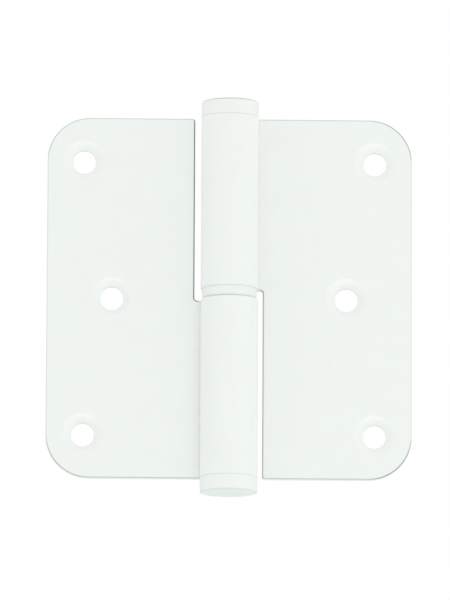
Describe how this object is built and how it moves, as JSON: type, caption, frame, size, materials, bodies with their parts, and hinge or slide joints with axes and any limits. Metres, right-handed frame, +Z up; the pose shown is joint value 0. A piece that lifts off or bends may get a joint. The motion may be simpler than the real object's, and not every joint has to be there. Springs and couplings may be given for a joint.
{
  "type": "paumelle hinge",
  "caption": "White painted lift-off door hinge: round-cornered leaves with countersunk screw holes and rolled knuckles that turn on a fixed pin, with a bearing ring between and flush end caps.",
  "frame": {"origin": "on the pin's axis at the leaves' mid height, which is the centre of the opened hinge's box", "axes": "+Z up along the pin, +X from the frame leaf towards the door leaf with the hinge opened flat, +Y from the countersunk faces towards the leaves' backs"},
  "size_m": [0.089, 0.014, 0.0964],
  "materials": {
    "white_paint": "white powder coat, satin",
    "white_nylon": "plain white nylon",
    "pin_steel": "bright drawn steel, lightly greased"
  },
  "bodies": {
    "frame_side": {"frame_leaf": "white_paint", "hinge_pin": "pin_steel", "bottom_cap": "white_paint"},
    "ring": {"bearing_ring": "white_nylon"},
    "door_side": {"door_leaf": "white_paint", "top_cap": "white_paint"}
  },
  "joints": [
    {"name": "leaf_swing", "type": "hinge", "parent": "frame_side", "child": "ring", "pos_m": [0, 0, 0], "axis": [0, 0, -1], "range_deg": [-125, 180]},
    {"name": "lift_off", "type": "slide", "parent": "ring", "child": "door_side", "axis": [0, 0, 1], "range_m": [0, 0.036]}
  ]
}
